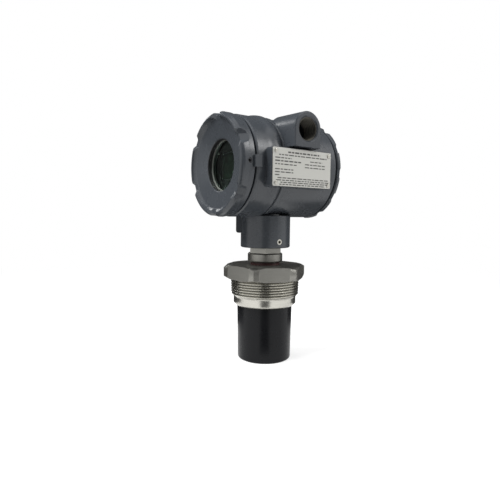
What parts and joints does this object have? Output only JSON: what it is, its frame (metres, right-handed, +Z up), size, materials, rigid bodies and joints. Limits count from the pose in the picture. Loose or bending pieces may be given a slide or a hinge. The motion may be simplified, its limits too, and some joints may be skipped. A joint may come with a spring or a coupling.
{
  "type": "ultrasonic level transmitter",
  "caption": "Ultrasonic level transmitter: round housing with screw covers, display window and conduit entry on a hexagon bushing with pipe thread and a black transducer.",
  "frame": {"origin": "on the axis of the process thread, at the underside of the hexagon", "axes": "+Z up along the process thread, window of the front cover towards -Y, conduit entry and nameplate towards +X"},
  "size_m": [0.103, 0.1056, 0.209],
  "materials": {
    "housing_paint": "smooth slate-grey paint on cast aluminium",
    "stainless": "turned stainless steel",
    "shell_polymer": "black moulded polymer, low sheen",
    "black_rubber": "matt elastomer",
    "red_seal": "dark red elastomer",
    "pale_gasket": "pale grey silicone",
    "etched_plate": "satin plate with dark fields",
    "black_plastic": "moulded, fine grain",
    "aluminium": "turned",
    "window_glass": "clear toughened glass",
    "lcd": "dark green display",
    "board": "solder resist",
    "key_plastic": "moulded key",
    "plated_brass": "nickel plated",
    "piezo": "fired and silvered",
    "resin": "cast resin",
    "lead": "jacketed lead"
  },
  "bodies": {
    "sensor": {"process_bushing": "stainless", "transducer_shell": "shell_polymer", "shell_oring": "black_rubber", "matching_disc": "resin", "piezo_disc": "piezo", "damping_sleeve": "black_rubber", "potting": "resin", "transducer_lead": "lead", "bushing_seal": "red_seal", "hex_nipple": "stainless", "nipple_oring": "black_rubber"},
    "housing": {"housing_casting": "housing_paint", "neck_set_screw": "stainless", "conduit_plug": "black_plastic", "nameplate": "etched_plate", "nameplate_screws": "stainless", "earth_washer": "stainless", "earth_screw": "stainless", "electronics_module": "black_plastic", "module_screws": "stainless", "display_board": "board", "lcd_panel": "lcd", "display_bezel": "black_plastic", "bezel_screws": "stainless", "feedthrough": "black_plastic", "terminal_block": "black_plastic", "block_screws": "stainless", "terminal_clamps": "plated_brass", "terminal_screws": "stainless", "inner_earth_screw": "stainless", "module_lead": "lead"},
    "front_seal": {"front_cover_oring": "black_rubber"},
    "front_cover": {"front_cover": "housing_paint", "cover_lock_screw": "stainless", "window_gasket": "pale_gasket", "window_glass": "window_glass", "window_retaining_ring": "aluminium"},
    "rear_seal": {"rear_cover_oring": "black_rubber"},
    "rear_cover": {"rear_cover": "housing_paint"},
    "key_left": {"key_left": "key_plastic"},
    "key_middle": {"key_middle": "key_plastic"},
    "key_right": {"key_right": "key_plastic"}
  },
  "joints": [
    {"name": "housing_swivel", "type": "hinge", "parent": "sensor", "child": "housing", "pos_m": [0, 0, 0], "axis": [0, 0, 1], "range_deg": [-180, 180]},
    {"name": "front_cover_travel", "type": "slide", "parent": "housing", "child": "front_seal", "axis": [0, -1, 0], "range_m": [0, 0.00675]},
    {"name": "front_cover_turn", "type": "hinge", "parent": "front_seal", "child": "front_cover", "pos_m": [0, 0, 0.095], "axis": [0, -1, 0], "range_deg": [0, 1620]},
    {"name": "rear_cover_travel", "type": "slide", "parent": "housing", "child": "rear_seal", "axis": [0, 1, 0], "range_m": [0, 0.0045]},
    {"name": "rear_cover_turn", "type": "hinge", "parent": "rear_seal", "child": "rear_cover", "pos_m": [0, 0, 0.095], "axis": [0, 1, 0], "range_deg": [0, 1080]},
    {"name": "key_left_press", "type": "slide", "parent": "housing", "child": "key_left", "axis": [0, 1, 0], "range_m": [0, 0.0005], "stiffness_N_per_m": 800, "springref_m": -0.0005},
    {"name": "key_middle_press", "type": "slide", "parent": "housing", "child": "key_middle", "axis": [0, 1, 0], "range_m": [0, 0.0005], "stiffness_N_per_m": 800, "springref_m": -0.0005},
    {"name": "key_right_press", "type": "slide", "parent": "housing", "child": "key_right", "axis": [0, 1, 0], "range_m": [0, 0.0005], "stiffness_N_per_m": 800, "springref_m": -0.0005}
  ],
  "couplings": [
    {"joint": "front_cover_travel", "follows": "front_cover_turn", "m_per_rad": 0.00023873},
    {"joint": "rear_cover_travel", "follows": "rear_cover_turn", "m_per_rad": 0.00023873}
  ]
}
